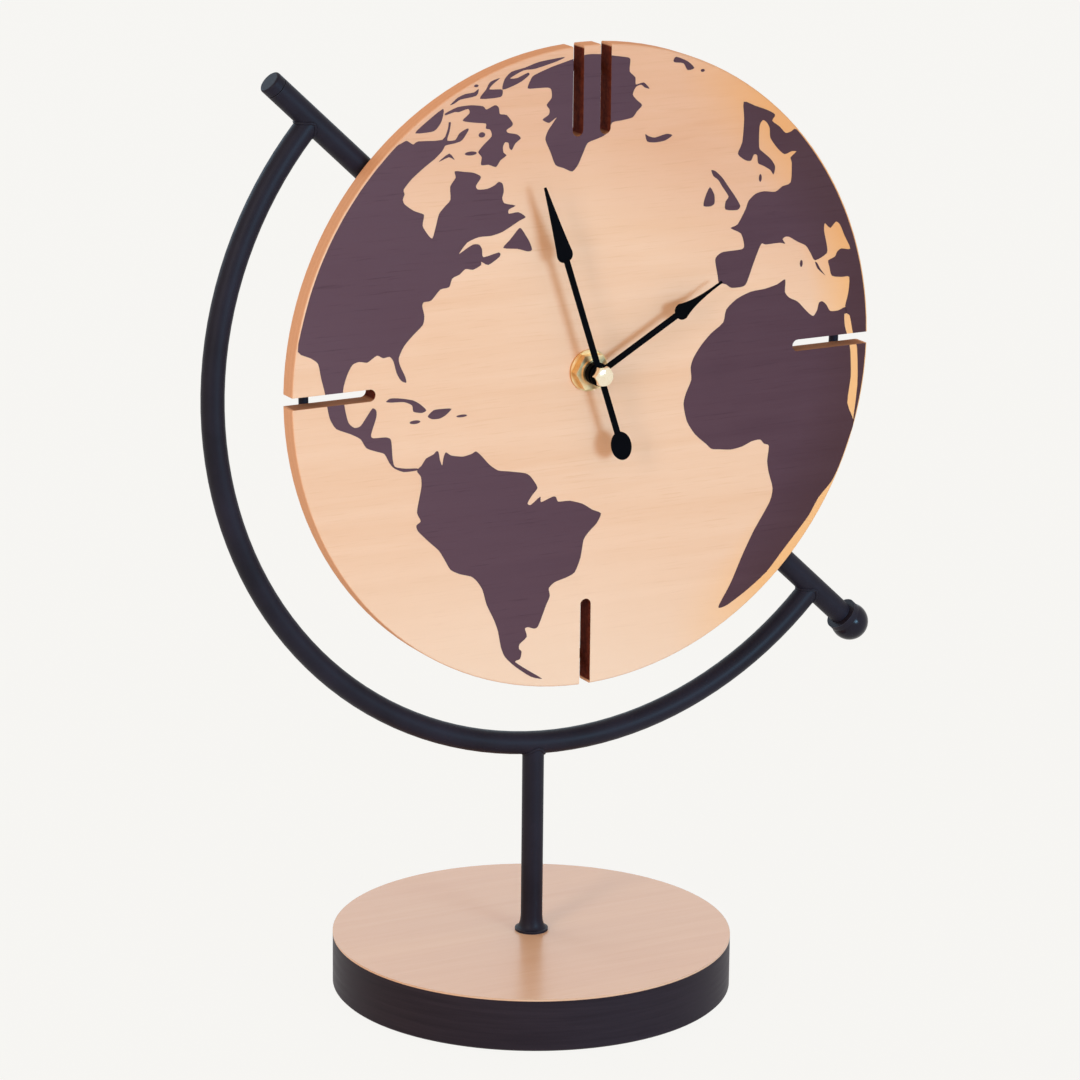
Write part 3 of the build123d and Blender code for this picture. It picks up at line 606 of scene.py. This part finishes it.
eurasia = [
    (53, 78.5), (57, 77), (61.5, 75.3), (64.3, 73.6), (63.3, 71.8), (66, 69.8), (68.2, 67.6),
    (70.2, 67.9)
] + rim_arc(43.5, -16.3, 13) + [
    (96.8, -15), (96.3, -3), (94.8, 1), (93.3, 7.5), (92, 8.5), (91.5, 11), (92.5, 15), (92.7, 20),
    (90, 20.3), (86.3, 21), (85.3, 24), (84.8, 26), (87.2, 27), (88, 28.5), (89.5, 29.4),
    (92.8, 29), (90.5, 33.5), (88.8, 37), (87.2, 38.1), (85.2, 36.3), (83.2, 38), (83, 35.5),
    (84, 31.5), (84.2, 28.4), (80, 26.5), (78.3, 29), (76.5, 31.5), (73.5, 33), (70.5, 34.8),
    (69, 35), (68, 34.3), (69, 32.8), (67, 33.3), (62, 33.2), (60.3, 33.5), (58, 28.5), (55.5, 22),
    (54, 20.7), (50, 20.7), (48, 22), (45.5, 22.8), (45, 25), (44, 30), (45, 31.5), (47, 32.3),
    (53.5, 32.5), (54.2, 34), (53, 37.5), (49.3, 39.5), (51.8, 40.5), (54.5, 45), (55.5, 47.5),
    (58, 49.5), (61, 50), (65, 49.5), (67.5, 51), (70.5, 52), (70.7, 58), (70.2, 59.8),
    (72.3, 61.5), (70.5, 61.7), (68, 61), (65.5, 63), (62.8, 66.5), (62.5, 69.5), (61.5, 71.3),
    (60, 72.3), (58.8, 70.5), (58.8, 64), (60, 62.5), (63, 60), (64.7, 57.5), (64.2, 55),
    (63, 56.5), (60.5, 58), (58.6, 59), (58.2, 61.5), (57, 61.8), (56, 60), (54, 60.3),
    (51.3, 62.5), (52.8, 66), (53.3, 73)]
africa = [
    (92, 8.5), (91.5, 10.5), (89, 9.7), (86, 9.8), (84.5, 12), (83, 13.2), (81.8, 12.8),
    (81.2, 10.5), (79.8, 8.8), (77.5, 10.5), (74, 14), (71, 15.5), (69.3, 17.5), (69.3, 21.5),
    (66.5, 20.2), (62, 19.2), (57, 18.8), (52, 17), (48.3, 14), (47.3, 10), (43, 7), (39.5, 3.5),
    (37, 0), (36, -3), (36.3, -7), (34.5, -11), (33.7, -14.5), (35, -20), (38, -24.5), (42, -28),
    (44, -29.8), (47, -30.3), (51, -30.8), (55, -30.3), (58.5, -29), (61.5, -28.8), (63, -30.3),
    (64.8, -31.2), (64.3, -36), (65, -40), (66.5, -45), (65.5, -49.5), (60, -58), (56, -65.5),
    (52, -74), (48, -80.5), (48, -81.7), (51, -81), (58, -77), (65, -72), (70, -66.5), (76, -60),
    (80, -55.5), (83.5, -50), (88, -45.5)
] + rim_arc(-24.5, -15.6, 4) + [
    (93.2, -20.5), (94.2, -12), (93.8, -4), (93, 0), (91.5, 4.5), (91.2, 8.2)]
south_america = [
    (-58.3, -24.5), (-57, -23.5), (-55.5, -21.5), (-53, -20.5), (-52, -19.6), (-51.3, -20),
    (-50.8, -22.5), (-50, -24.3), (-49.6, -22), (-48.8, -20.3), (-47, -21.5), (-43, -22.3),
    (-40, -21.8), (-38.5, -21.2), (-36.5, -23), (-34, -25.8), (-31, -28), (-27, -28.8),
    (-21.5, -30), (-19.5, -31.5), (-17.3, -35), (-19, -37), (-20.7, -39.5), (-19.5, -40.2),
    (-16.3, -38), (-16, -39.8), (-12, -38.5), (-10.8, -38.8), (-10, -40.3), (-6, -40.5),
    (-1.5, -42), (2, -44.3), (5, -45.8), (3.5, -48.8), (1, -51), (-1, -53.5), (-2, -59),
    (-4, -63.5), (-7, -64.8), (-11, -65.8), (-13, -67.5), (-12.6, -70), (-14, -73), (-16.5, -79),
    (-18, -79.7), (-20, -79), (-21.2, -79.3), (-20.5, -82), (-23, -84), (-23.2, -85.5),
    (-22.3, -86.5), (-22.8, -88.8), (-24.5, -89.5), (-20, -92.8), (-15, -96.2), (-19, -95),
    (-24.5, -91), (-28, -87.5), (-29.5, -84), (-30.5, -79), (-32, -75), (-34.5, -70), (-36, -65),
    (-38, -62), (-40, -60.3), (-44, -59), (-47, -57.3), (-49, -54), (-51, -50.8), (-54, -48),
    (-58, -44), (-58.7, -42), (-57.2, -40.8), (-58.5, -38), (-57.8, -34), (-57, -30), (-57.2, -27),
    (-58.4, -25.4)]
caribbean = [
    [(-69, -2.5), (-67.5, -1.6), (-64, -2), (-60, -3), (-57.5, -4.5), (-55.5, -6.5), (-57, -7.2),
     (-59.8, -6.5), (-60.3, -4.5), (-63, -3.2), (-67, -2.9)],
    [(-55, -8.5), (-53, -6.8), (-50, -6.7), (-47, -7), (-49, -8.8), (-51, -9.6), (-53.5, -9.5)],
    oval(-59.3, -9.8, 3.6, 1.1),
    oval(-43.5, -9.6, 3.6, 0.8)]

lands = {
    "print_north_america": [north_america],
    "print_arctic_islands": arctic_islands,
    "print_greenland": [greenland],
    "print_atlantic_islands": atlantic_islands,
    "print_eurasia": [eurasia],
    "print_africa": [africa],
    "print_south_america": [south_america],
    "print_caribbean": caribbean,
}


def slot_outline(angle, side):
    """Outline of one slot, from its round end out past the rim."""
    half = SLOT_W / 2
    rim = DIAL_R / MM
    inner = rim - SLOT_L + half
    bend = [math.radians(90 + 180 * n / SLOT_STEPS) for n in range(SLOT_STEPS + 1)]
    local = [(inner + half * math.cos(b), side + half * math.sin(b)) for b in bend]
    local += [(rim + SLOT_RUNOUT, side - half), (rim + SLOT_RUNOUT, side + half)]
    c, s = math.cos(math.radians(angle)), math.sin(math.radians(angle))
    return [(x * c - z * s, x * s + z * c) for x, z in local]


# The slot at six cuts no land
slots = [slot_outline(0, 0), slot_outline(90, -TWELVE_PITCH / 2),
         slot_outline(90, TWELVE_PITCH / 2), slot_outline(180, 0)]
for name, loops in lands.items():
    bm = bmesh.new()
    rounded = [smooth_loop(loop) for loop in loops]
    film(bm, rounded, slots, FACE_Y - FILM_PROUD * MM, FACE_Y + FILM_SUNK * MM)
    add_mesh(name, bm, "dial_body", "map_ink")


def bead(name, path):
    """Closed round bead along a loop of points, a little uneven as a hand weld is."""
    bm = bmesh.new()
    count, sides = len(path), BEAD_SIDES
    rings = []
    for i, place in enumerate(path):
        along = (path[(i + 1) % count] - path[i - 1]).normalized()
        out = along.orthogonal().normalized()
        across = along.cross(out)
        size = BEAD_R * (1 + 0.1 * math.sin(i * 2.3) + 0.06 * math.sin(i * 0.9))
        ring = [place + (out * math.cos(t) + across * math.sin(t)) * size for t in full_turn(sides)]
        rings.append([bm.verts.new(p) for p in ring])
    for i in range(count):
        here, there = rings[i], rings[(i + 1) % count]
        shift = min(range(sides), key=lambda k: (there[k].co - here[0].co).length)
        for k in range(sides):
            n = (k + 1) % sides
            bm.faces.new((here[k], here[n], there[(n + shift) % sides], there[(k + shift) % sides]))
    add_mesh(name, bm, "stand", "black_metal", smooth=True)


def sleeve_joint(out):
    """Loop where the end of the arc meets a sleeve that points along out."""
    along = Vector((0, 1, 0)).cross(out)
    if along.z > 0:
        along = -along
    loop = []
    for t in full_turn(BEAD_STEPS):
        y = TUBE_R * math.sin(t)
        lift = math.sqrt(SLEEVE_R ** 2 - y ** 2)
        reach = ARC_R + TUBE_R * math.cos(t)
        loop.append(CENTRE + out * reach + along * lift + Vector((0, y, 0)))
    return loop


def stem_joint():
    """Loop where the stem meets the underside of the arc."""
    loop = []
    for t in full_turn(BEAD_STEPS):
        x, y = STEM_R * math.cos(t), STEM_R * math.sin(t)
        reach = ARC_R + math.sqrt(TUBE_R ** 2 - y ** 2)
        loop.append(Vector((x, y, CENTRE.z - math.sqrt(reach ** 2 - (x - CENTRE.x) ** 2))))
    return loop


bead("weld_upper", sleeve_joint(UP))
bead("weld_lower", sleeve_joint(-UP))
bead("weld_stem", stem_joint())


def seen_rays(tree):
    """1 for rays from the camera, from gloss and through glass, else 0."""
    path = tree.nodes.new("ShaderNodeLightPath")
    seen = path.outputs["Is Camera Ray"]
    for name in ("Is Glossy Ray", "Is Transmission Ray"):
        most = tree.nodes.new("ShaderNodeMath")
        most.operation = "MAXIMUM"
        tree.links.new(seen, most.inputs[0])
        tree.links.new(path.outputs[name], most.inputs[1])
        seen = most.outputs[0]
    return seen


def show_pale(tree, kind, unseen, share, output_kind):
    """Make seen rays find a pale glow, to a share, where other rays find the unseen shader."""
    glow = tree.nodes.new(kind)
    glow.inputs["Color"].default_value = srgb(PALE)
    part = tree.nodes.new("ShaderNodeMath")
    part.operation = "MULTIPLY"
    part.inputs[1].default_value = share
    blend = tree.nodes.new("ShaderNodeMixShader")
    output = next(n for n in tree.nodes if n.type == output_kind)
    tree.links.new(seen_rays(tree), part.inputs[0])
    tree.links.new(part.outputs[0], blend.inputs[0])
    tree.links.new(unseen.outputs[0], blend.inputs[1])
    tree.links.new(glow.outputs[0], blend.inputs[2])
    tree.links.new(blend.outputs[0], output.inputs["Surface"])


def add_floor():
    bm = bmesh.new()
    bmesh.ops.create_grid(bm, x_segments=8, y_segments=8, size=FLOOR_SIZE)
    mesh = bpy.data.meshes.new("floor")
    bm.to_mesh(mesh)
    bm.free()
    floor = bpy.data.objects.new("floor", mesh)
    floor.location.z = -FLOOR_DROP
    scene.collection.objects.link(floor)
    sh = Shader("floor", FLOOR_COLOR, 0.9)
    show_pale(sh.tree, "ShaderNodeEmission", sh.bsdf, FLOOR_GLOW, "OUTPUT_MATERIAL")
    mesh.materials.append(sh.mat)


def add_world():
    world = bpy.data.worlds.new("studio")
    scene.world = world
    world.use_nodes = True
    fill = next(n for n in world.node_tree.nodes if n.type == "BACKGROUND")
    fill.inputs["Color"].default_value = FILL_COLOR
    fill.inputs["Strength"].default_value = FILL_STRENGTH
    show_pale(world.node_tree, "ShaderNodeBackground", fill, 1.0, "OUTPUT_WORLD")


def softbox(name, place, aim, width, height, power, tint):
    light = bpy.data.lights.new(name, "AREA")
    light.shape = "RECTANGLE"
    light.size, light.size_y = width, height
    light.energy = power
    light.color = tint
    obj = bpy.data.objects.new(name, light)
    obj.location = place
    obj.rotation_euler = (Vector(aim) - Vector(place)).to_track_quat("-Z", "Y").to_euler()
    scene.collection.objects.link(obj)


def add_camera():
    right = Vector((math.cos(AZIMUTH), math.sin(AZIMUTH), 0))
    flat_back = Vector((math.sin(AZIMUTH), -math.cos(AZIMUTH), 0))
    back = flat_back * math.cos(ELEVATION) + Vector((0, 0, math.sin(ELEVATION)))
    target = right * AIM_RIGHT + Vector((0, 0, AIM_UP))
    data = bpy.data.cameras.new("camera")
    data.sensor_width = SENSOR
    data.lens = FOCAL_PX / IMAGE_PX * SENSOR
    data.clip_start, data.clip_end = NEAR, FAR
    camera = bpy.data.objects.new("camera", data)
    scene.collection.objects.link(camera)
    look = (-back).to_track_quat("-Z", "Y").to_matrix().to_4x4()
    place = Matrix.Translation(target + back * DISTANCE)
    camera.matrix_world = place @ look @ Matrix.Rotation(ROLL, 4, "Z")
    scene.camera = camera


add_floor()
add_world()
softbox("key", (0.52, -2.1, 0.5), (0, 0, 0.2), 0.7, 0.5, 31.0, (0.33, 0.68, 1.0))
softbox("left_strip", (-1.5, -0.9, 0.8), (0, 0, 0.2), 0.4, 1.2, 9.0, (1.0, 0.95, 0.9))
softbox("back_panel", (0.95, 1.75, 0.75), (0, 0, 0.1), 1.6, 0.9, 5.0, (0.45, 0.76, 1.0))
softbox("back_left", (-0.9, 1.9, 0.9), (0, 0, 0.15), 1.0, 0.8, 12.0, (0.4, 0.72, 1.0))
add_camera()
scene.view_settings.view_transform = "Standard"
